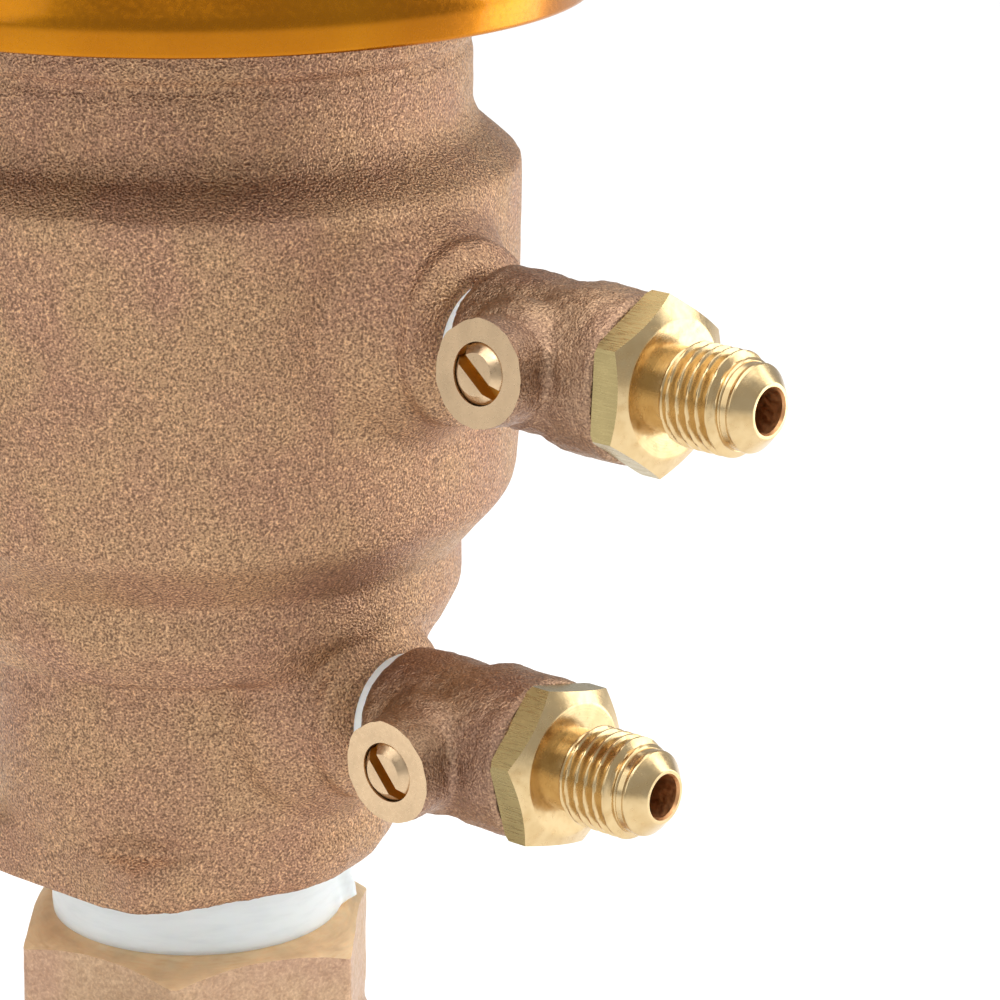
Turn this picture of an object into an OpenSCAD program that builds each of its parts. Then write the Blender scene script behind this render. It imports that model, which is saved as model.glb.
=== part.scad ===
// Pressure vacuum breaker for a 1 inch irrigation line, with its two shutoff
// ball valves and two test cocks. Water enters at the bottom, lifts a spring
// loaded check poppet and leaves at the side. When the line loses pressure the
// float drops off its seat and lets air in under the canopy.
//
// Origin: centre of the inlet port mouth. +Z is up along the inlet, +X points
// to the test cocks, -X to the outlet, and -Y is the front.

/* [Pipe nipples] */
// Outside radius of the 1 inch pipe
pipe_r = 16.7; // [16:0.1:16.8]
// Inside radius of the pipe
pipe_bore_r = 13.3; // [12:0.1:14]
// Bare pipe showing between the casting and each ball valve
pipe_gap = 8.4; // [6:0.2:20]
// How far a pipe end goes into its socket
socket_depth = 17; // [14:1:18]
// Thickness of the thread tape wrapped on the pipe
tape_t = 0.16; // [0.1:0.01:0.18]

/* [Body casting] */
// Radius of the inlet hub
hub_r = 24.4; // [23.5:0.1:25]
// Width across the flats of the hexagon at the inlet
hub_hex_af = 47.3; // [46:0.1:48]
// Length of each hub's hexagon
hub_hex_h = 5.5; // [4:0.5:8]
// Radius of the section around the check seat
seat_section_r = 30.9; // [30:0.1:32]
// Radius of the float chamber's outside
chamber_r = 37.3; // [36.5:0.1:38]
// Radius of the neck that takes the bonnet
neck_r = 31.8; // [31.4:0.1:32.2]
// How far the rim at the top stands out from the neck
rim_step = 0.6; // [0.3:0.1:1]
// Radius of the outlet hub
outlet_hub_r = 21.6; // [21:0.1:22]
// Width across the flats of the hexagon at the outlet
outlet_hex_af = 43.5; // [42:0.1:44]
// Height of the outlet above the casting's bottom face
outlet_h = 61; // [60:0.5:62]
// Distance from the axis to the outlet hub's end
outlet_reach = 58; // [56:1:64]
// How far the raised flow arrow stands out of the chamber
arrow_t = 0.7; // [0.4:0.1:1]

/* [Canopy and bonnet] */
// Outside radius of the canopy
canopy_r = 45.5; // [44:0.5:48]
// Thickness of the canopy's metal
canopy_wall = 1.5; // [1:0.1:2]
// Height of the canopy's straight rim
canopy_rim_h = 6; // [4:0.5:8]
// Height of the dome above the rim
canopy_dome_h = 15.6; // [15:0.1:18]
// Radius of the air opening that the float closes
air_port_r = 14; // [12:0.5:15]

/* [Check and float] */
// Travel of the check poppet, and of the float
lift = 9; // [6:0.5:9]
// Radius of the check poppet's guide stem
guide_r = 4; // [3.5:0.1:4]
// Clearance between the guide stem and its bore
guide_gap = 0.3; // [0.3:0.05:0.5]

/* [Test cocks] */
// Distance from the body axis to the upper boss's face
upper_cock_x = 43.9; // [43.5:0.1:44.5]
// Height of the upper cock above the casting's bottom face
upper_cock_h = 67; // [64:0.5:68]
// Distance from the body axis to the lower boss's face
lower_cock_x = 31.3; // [31:0.1:32]
// Height of the lower cock above the casting's bottom face
lower_cock_h = 22.3; // [22:0.1:22.5]
// Tilt of the upper cock's stem above level, in degrees
upper_cock_roll = 6; // [0:1:10]
// Tilt of the lower cock's stem below level, in degrees
lower_cock_roll = 2.6; // [0:0.2:6]
// Angle of the upper stem's slot from the flow, in degrees
upper_slot = -37; // [-90:1:0]
// Angle of the lower stem's slot from the flow, in degrees
lower_slot = -51; // [-90:1:0]
// Turn of the upper adapter's hexagon, in degrees
upper_hex_turn = 3; // [-30:1:30]
// Turn of the lower adapter's hexagon, in degrees
lower_hex_turn = 15; // [-30:1:30]

/* [Ball valves] */
// Length of a ball valve from end to end
valve_len = 80.6; // [80:0.1:90]
// Width across the flats of a valve's ends
valve_hex_af = 38.1; // [37.5:0.1:39]
// Radius of a valve's round body
valve_r = 25; // [24.5:0.1:27]
// Radius of the valve's ball
ball_r = 18.5; // [18:0.1:18.6]
// Radius of the waterway through the ball
port_r = 12.7; // [11:0.1:12.9]
// Radius of the female pipe thread at its pitch line
thread_r = 15.7; // [15.5:0.1:15.8]
// Half the length of a valve's tee handle
handle_reach = 29; // [24:1:34]
// Turn of the hexagon at the inlet valve's upper end, in degrees
inlet_hex_turn = 8; // [-30:1:30]

/* [Hidden] */
$fn = 96;
eps = 0.01;

bronze = "#b98a68";
brass = "#c9ac6a";
gold = "#e0a61c";
steel = "#b9bcc0";
tape_white = "#f4f3ef";
rubber = "#26262a";
plastic = "#e9e6dc";

// Places that follow from the driving sizes
body_z = valve_len + pipe_gap;
socket_r = pipe_r + tape_t + 0.04;
outlet_z = body_z + outlet_h;
outlet_valve_x = -outlet_reach - pipe_gap - valve_len;
upper_cock_z = body_z + upper_cock_h;
lower_cock_z = body_z + lower_cock_h;

// Casting, as heights above its bottom face
throat_r = 13;
seat_floor_h = 30;
seat_lip_h = 33;
seat_lip_r = 15;
seat_section_h = 28.5;
seat_section_top = 37.5;
chamber_h = 47;
shoulder_h = 80.2;
neck_h = 85.8;
rim_h = 95;
body_top_h = 100;
seat_cavity_r = 26;
chamber_bore_r = 32;
neck_bore_r = 28;
neck_bore_h = 85;
cavity_taper_h = 6;

// Bonnet, float and check, as heights above the casting's bottom face
flange_t = 4;
flange_r = 31.4;
skirt_r = 27.9;
skirt_bore_r = 24;
skirt_h = 87;
air_seat_h = 92.5;
air_seat_w = 2;
web_h = 94;
bridge_t = 5;
bridge_r = 11;
pillar_out_r = 20;
pillar_w = 5;
cage_ring_t = 3;
cage_ring_r = 20.4;
cage_hub_h = 62;
cage_hub_t = 4;
cage_hub_r = 9;
spigot_r = 6.4;
spigot_top_h = 78;
seal_gap = 0.05;
check_disc_t = 3;
check_disc_r = 17;
poppet_r = 18.5;
poppet_t = 4;
poppet_h = seat_lip_h + seal_gap + check_disc_t;
poppet_stem_top_h = 68;
float_disc_t = 3;
float_disc_top_h = air_seat_h - seal_gap - lift;
float_r = 18.8;
float_t = 6;
float_sleeve_t = 2.9;
float_base_h = cage_hub_h + cage_hub_t + 1;
retainer_t = 2;
retainer_r = 9;
screw_r = 3;

// Canopy. Its dome would rise pad_drop higher without the flat pad on top
pad_drop = 1;
canopy_z = body_z + body_top_h + 0.6;
canopy_top_z = canopy_z + canopy_rim_h + canopy_dome_h;
bridge_h = canopy_top_z - canopy_wall - bridge_t - body_z;

// Test cock, measured along its axis from the boss's face
shank_r = 6.7;
shank_len = 9;
boss_r = 10.2;
boss_lip_r = 7.6;
cock_gap = 1.9;
barrel_r = 8.3;
collar_r = 9.1;
collar_x = 13.4;
stem_x = 10.8;
adapter_x = 22.3;
adapter_hex_af = 17;
adapter_hex_t = 3.3;
flare_thread_x = 28.5;
flare_thread_len = 7.2;
flare_thread_r = 5.56;
flare_neck_r = 4.6;
flare_tip_r = 2.9;
flare_tip_x = 38.6;
flare_bore_r = 2.4;
cock_ball_r = 5.6;
cock_port_r = 2.6;
cock_cavity_r = 6.1;
cock_seat_w = 2.6;
stem_boss_r = 5.75;
stem_face_y = 13.1;
stem_head_r = 3.25;
stem_sink = 0.35;
stem_chamfer = 1;
stem_slot_w = 1.4;
stem_slot_d = 1.8;
oring_wire_r = 0.42;

// Ball valve, measured from its outer end
valve_mid = valve_len / 2;
end_hex_h = 14;
end_collar_h = 18;
end_thread_r = 21.5;
end_thread_h = 25;
valve_cavity_r = 19;
valve_seat_w = 4;
valve_shaft_r = 4.5;
stem_flange_r = 6.5;
stem_flange_y = 21;
boss_y = 31;
valve_boss_r = 10;
packing_r = 7.4;
packing_y = 25;
packing_t = 4;
nut_af = 17.5;
handle_y = 36;
handle_t = 5;
handle_hub_r = 9;
handle_arm_w = 9;
handle_nut_af = 12.7;
handle_nut_t = 4.5;
shaft_flat = 3.4;
tang_w = 4.8;
tang_len = 9.6;
tang_t = 2.6;

// Springs
check_wire_r = 0.65;
check_coil_r = 8;
check_turns = 6;
float_wire_r = 0.5;
float_coil_r = 5.6;
float_turns = 8;
coil_steps = 20;
coil_sides = 8;

function hex_r(af) = af / 2 / cos(30);

// A round solid or ring turned from a profile of [radius, height] points
module turned(points) {
  rotate_extrude() polygon(points);
}

module ring(inner, outer, h) {
  difference() {
    cylinder(r = outer, h = h);
    translate([0, 0, -eps]) cylinder(r = inner, h = h + 2 * eps);
  }
}

// Whatever is drawn along Z, turned to run along X from x
module along_x(x) {
  translate([x, 0, 0]) rotate([0, 90, 0]) children();
}

// A round wire ring
module wire_ring(r, wire) {
  rotate_extrude() translate([r, 0]) circle(r = wire, $fn = 32);
}

// A coil spring between z = 0 and z = len
function coil_point(i, k, r, wire, turns, len) =
  let (a = 360 * i / coil_steps, b = 360 * k / coil_sides,
       rise = (len - 2 * wire) * i / (turns * coil_steps))
  [(r + wire * cos(b)) * cos(a), (r + wire * cos(b)) * sin(a), wire + rise + wire * sin(b)];

module coil_spring(r, wire, turns, len) {
  n = turns * coil_steps;
  points = [for (i = [0:n], k = [0:coil_sides - 1]) coil_point(i, k, r, wire, turns, len)];
  sides = [for (i = [0:n - 1], k = [0:coil_sides - 1])
    let (a = i * coil_sides, j = (k + 1) % coil_sides)
    [a + k, a + coil_sides + k, a + coil_sides + j, a + j]];
  start = [for (k = [0:coil_sides - 1]) k];
  finish = [for (k = [coil_sides - 1:-1:0]) n * coil_sides + k];
  polyhedron(points, concat([start, finish], sides));
}

// ---- Body casting ----

module hub(r, hex_af, len) {
  cylinder(r = r, h = len);
  cylinder(r = hex_r(hex_af), h = hub_hex_h, $fn = 6);
}

module cock_boss(x, h, base_x) {
  flare = 4;
  rise = x - base_x - 2;
  translate([base_x, 0, h]) rotate([0, 90, 0])
    turned([[0, 0], [boss_r + flare, 0], [boss_r, rise], [boss_r, rise + 0.6], [boss_lip_r, rise + 2], [0, rise + 2]]);
}

module flow_arrow() {
  head_w = 8;
  head_h = 11;
  shaft_w = 2.6;
  arrow_h = 26;
  arrow_base = 41;
  intersection() {
    cylinder(r = chamber_r + arrow_t, h = shoulder_h);
    translate([0, 0, arrow_base]) rotate([90, 0, 0]) linear_extrude(chamber_r + 1)
      polygon([[-shaft_w, 6], [shaft_w, 6], [shaft_w, arrow_h - head_h], [head_w, arrow_h - head_h],
        [0, arrow_h], [-head_w, arrow_h - head_h], [-shaft_w, arrow_h - head_h]]);
  }
}

module casting_outside() {
  turned([[0, 0], [hub_r, 0], [hub_r, seat_section_h], [seat_section_r, seat_section_h],
    [seat_section_r, seat_section_top], [chamber_r - 3.1, seat_section_top + 3],
    [chamber_r - 0.9, seat_section_top + 6], [chamber_r, chamber_h], [chamber_r, shoulder_h],
    [chamber_r - 1, shoulder_h + 2.4], [neck_r, neck_h], [neck_r, rim_h],
    [neck_r + rim_step, rim_h + 0.5], [neck_r + rim_step, body_top_h], [0, body_top_h]]);
  hub(hub_r, hub_hex_af, seat_section_h);
  translate([0, 0, outlet_h]) along_x(-outlet_reach)
    hub(outlet_hub_r, outlet_hex_af, outlet_reach - chamber_bore_r - 1);
  cock_boss(upper_cock_x, upper_cock_h, chamber_bore_r + 2);
  cock_boss(lower_cock_x, lower_cock_h, hub_r - 6);
  flow_arrow();
}

module casting_inside() {
  turned([[0, -1], [socket_r, -1], [socket_r, socket_depth], [throat_r, socket_depth],
    [throat_r, seat_lip_h], [seat_lip_r, seat_lip_h], [seat_lip_r, seat_floor_h],
    [seat_cavity_r, seat_floor_h], [seat_cavity_r, seat_section_top + 3],
    [chamber_bore_r, seat_section_top + 3 + cavity_taper_h],
    [chamber_bore_r, neck_bore_h - 4], [neck_bore_r, neck_bore_h],
    [neck_bore_r, body_top_h + 1], [0, body_top_h + 1]]);
  translate([0, 0, outlet_h]) {
    along_x(-outlet_reach - 1) cylinder(r = socket_r, h = socket_depth + 1);
    along_x(-outlet_reach) cylinder(r = throat_r, h = outlet_reach - 8);
  }
  translate([0, 0, upper_cock_h]) along_x(upper_cock_x - shank_len - 4)
    cylinder(r = shank_r + 0.05, h = shank_len + 5);
  translate([0, 0, lower_cock_h]) {
    along_x(lower_cock_x - shank_len - 1) cylinder(r = shank_r + 0.05, h = shank_len + 2);
    along_x(5) cylinder(r = 3, h = lower_cock_x - shank_len - 5);
  }
  translate([0, 0, body_top_h]) oring_groove();
}

module oring_groove() {
  translate([0, 0, -2.05]) ring(28.9, 31.1, 3);
}

module valve_body() {
  color(bronze) translate([0, 0, body_z]) difference() {
    casting_outside();
    casting_inside();
  }
}

// ---- Bonnet and canopy ----

module bonnet() {
  color(brass) translate([0, 0, body_z]) {
    difference() {
      union() {
        translate([0, 0, skirt_h]) cylinder(r = skirt_r, h = body_top_h - skirt_h);
        translate([0, 0, body_top_h]) cylinder(r = flange_r, h = flange_t);
      }
      translate([0, 0, skirt_h - 1]) cylinder(r = air_port_r, h = 30);
      turned_recess();
    }
    for (a = [45:90:315]) rotate(a) translate([air_port_r, -pillar_w / 2, body_top_h + flange_t - eps])
      cube([pillar_out_r - air_port_r, pillar_w, bridge_h - body_top_h - flange_t + 2 * eps]);
    difference() {
      union() {
        translate([0, 0, bridge_h]) cylinder(r = bridge_r, h = bridge_t);
        for (a = [45:90:315]) rotate(a) translate([0, -pillar_w / 2, bridge_h])
          cube([pillar_out_r, pillar_w, bridge_t - 2.6]);
      }
      translate([0, 0, bridge_h - 1]) cylinder(r = screw_r + 0.05, h = bridge_t + 2);
    }
  }
}

// The hollow under the bonnet's air seat, which leaves the seat's lip standing
module turned_recess() {
  lip_r = air_port_r + air_seat_w;
  turned([[0, skirt_h - 1], [skirt_bore_r, skirt_h - 1], [skirt_bore_r, web_h], [lip_r, web_h],
    [lip_r, air_seat_h], [0, air_seat_h]]);
}

module bonnet_oring() {
  color(rubber) translate([0, 0, body_z + body_top_h - 1.02]) wire_ring(30, 1);
}

// A straight rim under a dome with a flat pad on top, made smaller all round by inset
module canopy_form(inset) {
  cap_h = canopy_dome_h + pad_drop;
  dome_r = (canopy_r * canopy_r + cap_h * cap_h) / (2 * cap_h);
  translate([0, 0, -inset]) intersection() {
    cylinder(r = canopy_r - inset, h = canopy_rim_h + canopy_dome_h);
    translate([0, 0, canopy_rim_h + cap_h - dome_r + inset]) sphere(r = dome_r - inset);
  }
}

module canopy() {
  color(gold) translate([0, 0, canopy_z]) difference() {
    canopy_form(0);
    canopy_form(canopy_wall);
    cylinder(r = screw_r + 0.1, h = 60);
  }
}

module canopy_screw() {
  head_r = 6.5;
  head_t = 3.4;
  color(steel) translate([0, 0, canopy_top_z]) {
    difference() {
      cylinder(r = head_r, h = head_t);
      translate([-head_r - 1, -0.8, head_t - 1.6]) cube([2 * head_r + 2, 1.6, 3]);
    }
    translate([0, 0, -canopy_wall - bridge_t]) cylinder(r = screw_r, h = canopy_wall + bridge_t + eps);
  }
}

// ---- Check and float ----

module guide_cage() {
  leg_w = 5;
  legs_h = skirt_h - cage_hub_h;
  color(plastic) translate([0, 0, body_z]) difference() {
    union() {
      translate([0, 0, skirt_h]) ring(cage_ring_r, skirt_bore_r - 0.1, cage_ring_t);
      for (a = [0:90:270]) rotate(a) {
        translate([cage_ring_r, -leg_w / 2, cage_hub_h]) cube([3, leg_w, legs_h + 1]);
        translate([cage_hub_r - 2, -leg_w / 2, cage_hub_h]) cube([cage_ring_r - cage_hub_r + 4, leg_w, cage_hub_t]);
      }
      translate([0, 0, cage_hub_h]) cylinder(r = cage_hub_r, h = cage_hub_t);
      translate([0, 0, cage_hub_h]) cylinder(r = spigot_r, h = spigot_top_h - cage_hub_h);
    }
    translate([0, 0, cage_hub_h - 1]) cylinder(r = guide_r + guide_gap, h = 30);
  }
}

module check_poppet() {
  color(plastic) translate([0, 0, body_z]) difference() {
    turned([[0, poppet_h], [poppet_r, poppet_h], [poppet_r, poppet_h + 2], [poppet_r - 2, poppet_h + poppet_t],
      [guide_r, poppet_h + poppet_t], [guide_r, poppet_stem_top_h], [0, poppet_stem_top_h]]);
    translate([0, 0, poppet_h - 1]) cylinder(r = screw_r, h = 8);
  }
}

module check_disc() {
  color(rubber) translate([0, 0, body_z + seat_lip_h + seal_gap]) ring(screw_r, check_disc_r, check_disc_t);
}

module check_disc_screw() {
  head_t = 2.4;
  color(steel) translate([0, 0, body_z + seat_lip_h + seal_gap]) {
    translate([0, 0, -head_t]) cylinder(r = 6.5, h = head_t);
    cylinder(r = screw_r, h = check_disc_t + 6.5);
  }
}

module check_spring() {
  base = poppet_h + poppet_t;
  color(steel) translate([0, 0, body_z + base])
    coil_spring(check_coil_r, check_wire_r, check_turns, cage_hub_h - base);
}

module air_float() {
  top = float_disc_top_h - float_disc_t;
  sleeve_r = spigot_r + guide_gap;
  color(plastic) translate([0, 0, body_z]) difference() {
    union() {
      translate([0, 0, top - float_t]) cylinder(r = float_r, h = float_t);
      translate([0, 0, float_base_h]) cylinder(r = sleeve_r + float_sleeve_t, h = top - float_base_h);
    }
    translate([0, 0, float_base_h - 1]) cylinder(r = sleeve_r, h = spigot_top_h - float_base_h + 1.5);
    translate([0, 0, spigot_top_h - 1]) cylinder(r = screw_r, h = 10);
  }
}

module float_disc() {
  color(rubber) translate([0, 0, body_z + float_disc_top_h - float_disc_t]) ring(screw_r, float_r - 0.3, float_disc_t);
}

module float_disc_retainer() {
  color(steel) translate([0, 0, body_z + float_disc_top_h]) {
    cylinder(r = retainer_r, h = retainer_t);
    translate([0, 0, retainer_t - eps]) cylinder(r = 4.4, h = 2, $fn = 6);
    translate([0, 0, -float_disc_t - 2]) cylinder(r = screw_r, h = float_disc_t + 2 + eps);
  }
}

module float_spring() {
  base = float_disc_top_h + retainer_t;
  color(steel) translate([0, 0, body_z + base])
    coil_spring(float_coil_r, float_wire_r, float_turns, bridge_h - base);
}

// ---- Nipples ----

module nipple() {
  color(bronze) ring(pipe_bore_r, pipe_r, pipe_gap + 2 * socket_depth);
}

module nipple_tape() {
  cover = 12;
  color(tape_white) translate([0, 0, socket_depth - cover]) ring(pipe_r, pipe_r + tape_t, pipe_gap + 2 * cover);
}

module at_inlet_nipple() {
  translate([0, 0, valve_len - socket_depth]) children();
}

module at_outlet_nipple() {
  translate([-outlet_reach - pipe_gap - socket_depth, 0, outlet_z]) rotate([0, 90, 0]) children();
}

// ---- Ball valve, flow along Z, stem towards -Y ----

// A hexagonal end whose corners are turned down by a 30 degree cone at its mouth
module hex_end(h) {
  mouth_r = valve_hex_af / 2 - 1.2;
  intersection() {
    cylinder(r = hex_r(valve_hex_af), h = h, $fn = 6);
    cylinder(r1 = mouth_r, r2 = mouth_r + h * sqrt(3), h = h);
  }
}

module ball_valve_body(hex_turn = 0) {
  shoulder = valve_len - end_hex_h - 8;
  color(bronze) difference() {
    union() {
      turned([[0, end_collar_h], [valve_r - 2, end_collar_h], [valve_r, end_collar_h + 2], [valve_r, shoulder],
        [valve_hex_af / 2, shoulder + 9], [0, shoulder + 9]]);
      translate([0, 0, valve_len]) mirror([0, 0, 1]) rotate(hex_turn) hex_end(valve_len - shoulder - 6);
      translate([0, 0, valve_mid]) rotate([90, 0, 0]) cylinder(r = valve_boss_r, h = boss_y);
    }
    translate([0, 0, end_collar_h - 1]) cylinder(r = end_thread_r, h = end_thread_h - end_collar_h + 1);
    translate([0, 0, end_collar_h]) cylinder(r = valve_cavity_r, h = valve_len - 2 * end_collar_h - 4);
    cylinder(r = port_r, h = valve_len + 1);
    translate([0, 0, valve_len - socket_depth]) cylinder(r = socket_r, h = socket_depth + 1);
    translate([0, 0, valve_mid]) rotate([90, 0, 0]) {
      cylinder(r = valve_shaft_r + 0.1, h = boss_y + 1);
      cylinder(r = stem_flange_r + 0.3, h = stem_flange_y + 0.1);
      translate([0, 0, packing_y]) cylinder(r = packing_r + 0.05, h = boss_y);
    }
  }
}

module ball_valve_end() {
  color(bronze) difference() {
    union() {
      hex_end(end_hex_h);
      turned([[0, end_hex_h - 3], [valve_hex_af / 2, end_hex_h - 3], [valve_r - 2, end_hex_h + 1],
        [valve_r - 2, end_collar_h - 0.05], [end_thread_r - 0.05, end_collar_h - 0.05],
        [end_thread_r - 0.05, end_thread_h - 0.05], [0, end_thread_h - 0.05]]);
    }
    translate([0, 0, -1]) cylinder(r = thread_r, h = socket_depth + 1);
    cylinder(r = port_r, h = end_thread_h + 1);
  }
}

module ball_valve_ball() {
  color(steel) translate([0, 0, valve_mid]) difference() {
    sphere(r = ball_r);
    translate([0, 0, -ball_r]) cylinder(r = port_r, h = 2 * ball_r);
    translate([-tang_w / 2, -ball_r - 1, -tang_len / 2 - 0.2]) cube([tang_w + 0.1, tang_t + 1.2, tang_len + 0.4]);
  }
}

module ball_valve_seats() {
  lower = end_thread_h;
  upper = valve_len - end_collar_h - 4 - valve_seat_w;
  color(tape_white) difference() {
    for (z = [lower, upper]) translate([0, 0, z]) ring(port_r + 0.2, valve_cavity_r - 0.1, valve_seat_w);
    translate([0, 0, valve_mid]) sphere(r = ball_r + 0.08);
  }
}

module ball_valve_stem() {
  top = handle_y + handle_t + handle_nut_t + 1.5;
  color(steel) translate([0, 0, valve_mid]) rotate([90, 0, 0]) difference() {
    union() {
      translate([-tang_w / 2, -tang_len / 2, ball_r - tang_t]) cube([tang_w, tang_len, tang_t + 1]);
      translate([0, 0, ball_r + 0.3]) cylinder(r = stem_flange_r, h = stem_flange_y - ball_r - 0.3);
      translate([0, 0, ball_r + 0.3]) cylinder(r = valve_shaft_r, h = top - ball_r - 0.3);
    }
    for (s = [-1, 1]) translate([s * (shaft_flat + 5) - 5, -10, handle_y]) cube([10, 20, handle_t]);
  }
}

module ball_valve_packing() {
  color(tape_white) translate([0, 0, valve_mid]) rotate([90, 0, 0]) translate([0, 0, packing_y])
    ring(valve_shaft_r + 0.1, packing_r, packing_t);
}

module ball_valve_packing_nut() {
  color(brass) translate([0, 0, valve_mid]) rotate([90, 0, 0]) difference() {
    union() {
      translate([0, 0, packing_y + packing_t]) cylinder(r = packing_r, h = boss_y - packing_y - packing_t + 1);
      translate([0, 0, boss_y]) cylinder(r = hex_r(nut_af), h = handle_y - boss_y - 0.6, $fn = 6);
    }
    cylinder(r = valve_shaft_r + 0.1, h = handle_y + 1);
  }
}

module ball_valve_handle() {
  color(steel) translate([0, 0, valve_mid]) rotate([90, 0, 0]) translate([0, 0, handle_y]) difference() {
    union() {
      cylinder(r = handle_hub_r, h = handle_t);
      translate([-handle_arm_w / 2, -handle_reach + handle_arm_w / 2, 0])
        cube([handle_arm_w, 2 * handle_reach - handle_arm_w, handle_t]);
      for (s = [-1, 1]) translate([0, s * (handle_reach - handle_arm_w / 2), 0])
        cylinder(r = handle_arm_w / 2, h = handle_t);
    }
    intersection() {
      translate([0, 0, -1]) cylinder(r = valve_shaft_r, h = handle_t + 2);
      translate([-shaft_flat, -10, -1]) cube([2 * shaft_flat, 20, handle_t + 2]);
    }
  }
}

module ball_valve_handle_nut() {
  color(steel) translate([0, 0, valve_mid]) rotate([90, 0, 0]) translate([0, 0, handle_y + handle_t]) difference() {
    cylinder(r = hex_r(handle_nut_af), h = handle_nut_t, $fn = 6);
    translate([0, 0, -1]) cylinder(r = valve_shaft_r, h = handle_nut_t + 2);
  }
}

module at_outlet_valve() {
  translate([outlet_valve_x, 0, outlet_z]) rotate([0, 90, 0]) children();
}

// ---- Test cock, flow along X from the boss's face, stem towards -Y ----

module cock_body() {
  color(bronze) difference() {
    union() {
      along_x(-shank_len) cylinder(r = shank_r, h = shank_len + cock_gap + 1);
      along_x(cock_gap) cylinder(r1 = barrel_r - 0.8, r2 = barrel_r, h = 1);
      along_x(cock_gap + 1) cylinder(r = barrel_r, h = collar_x - cock_gap);
      along_x(collar_x - 1.5) cylinder(r1 = barrel_r, r2 = collar_r, h = 1.5);
      along_x(collar_x) cylinder(r = collar_r, h = adapter_x - collar_x);
      translate([stem_x, 0, 0]) rotate([90, 0, 0]) cylinder(r = stem_boss_r, h = stem_face_y);
    }
    along_x(-shank_len - 1) cylinder(r = 3, h = 30);
    along_x(stem_x - cock_ball_r - 1.2) cylinder(r = cock_cavity_r, h = 30);
    translate([stem_x, 0, 0]) rotate([90, 0, 0]) cylinder(r = stem_head_r + 0.1, h = stem_face_y + 1);
  }
}

module cock_adapter(hex_turn) {
  hex_end = adapter_x + adapter_hex_t;
  face_r = adapter_hex_af / 2 - 0.4;
  seat_end = stem_x + cock_ball_r + 1.2;
  color(brass) difference() {
    union() {
      along_x(seat_end) cylinder(r = cock_cavity_r - 0.03, h = adapter_x - seat_end + 1);
      intersection() {
        rotate([hex_turn, 0, 0]) along_x(adapter_x) cylinder(r = hex_r(adapter_hex_af), h = adapter_hex_t, $fn = 6);
        along_x(adapter_x) cylinder(r1 = face_r + adapter_hex_t * 1.4, r2 = face_r, h = adapter_hex_t);
      }
      along_x(hex_end - 1) cylinder(r = flare_neck_r, h = flare_thread_x - hex_end + 2);
      along_x(flare_thread_x) cylinder(r = flare_thread_r, h = flare_thread_len);
      along_x(flare_thread_x) cylinder(r = flare_neck_r, h = flare_tip_x - flare_thread_x - flare_neck_r + flare_tip_r);
      along_x(flare_tip_x - flare_neck_r + flare_tip_r)
        cylinder(r1 = flare_neck_r, r2 = flare_tip_r, h = flare_neck_r - flare_tip_r);
    }
    along_x(0) cylinder(r = flare_bore_r, h = flare_tip_x + 1);
  }
}

// Turned about the stem's axis with the slot
module on_stem(slot) {
  translate([stem_x, 0, 0]) rotate([0, -slot, 0]) children();
}

module cock_ball(slot) {
  color(steel) on_stem(slot) difference() {
    sphere(r = cock_ball_r);
    translate([-cock_ball_r - 1, 0, 0]) rotate([0, 90, 0]) cylinder(r = cock_port_r, h = 2 * cock_ball_r + 2);
    translate([-3, -cock_ball_r - 1, -0.8]) cube([6, 2.4, 1.6]);
  }
}

module cock_seats() {
  reach = cock_ball_r + 1.2;
  color(tape_white) difference() {
    for (x = [stem_x - reach, stem_x + reach - cock_seat_w])
      along_x(x) ring(cock_port_r + 0.2, cock_cavity_r - 0.05, cock_seat_w);
    translate([stem_x, 0, 0]) sphere(r = cock_ball_r + 0.06);
  }
}

module cock_stem(slot) {
  head_y = stem_face_y - stem_sink;
  groove_y = 8.4;
  color(brass) on_stem(slot) rotate([90, 0, 0]) difference() {
    union() {
      translate([0, 0, cock_ball_r + 0.2]) cylinder(r = stem_head_r, h = head_y - cock_ball_r - 0.2);
      translate([0, 0, head_y]) cylinder(r1 = stem_head_r, r2 = stem_head_r - stem_chamfer, h = stem_chamfer);
      translate([-2.8, -0.7, cock_ball_r - 1.2]) cube([5.6, 1.4, 2]);
    }
    translate([-5, -stem_slot_w / 2, head_y + stem_chamfer - stem_slot_d])
      cube([10, stem_slot_w, stem_slot_d + 1]);
    translate([0, 0, groove_y - 0.6]) ring(stem_head_r - 0.85, stem_head_r + 1, 1.2);
  }
}

module cock_oring() {
  color(rubber) translate([stem_x, -8.4, 0]) rotate([90, 0, 0]) wire_ring(stem_head_r - oring_wire_r, oring_wire_r);
}

module cock_tape() {
  color(tape_white) along_x(0.05) ring(shank_r, shank_r + 0.3, cock_gap - 0.1);
}

module at_upper_cock() {
  translate([upper_cock_x, 0, upper_cock_z]) rotate([-upper_cock_roll, 0, 0]) children();
}

module at_lower_cock() {
  translate([lower_cock_x, 0, lower_cock_z]) rotate([lower_cock_roll, 0, 0]) children();
}

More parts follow.
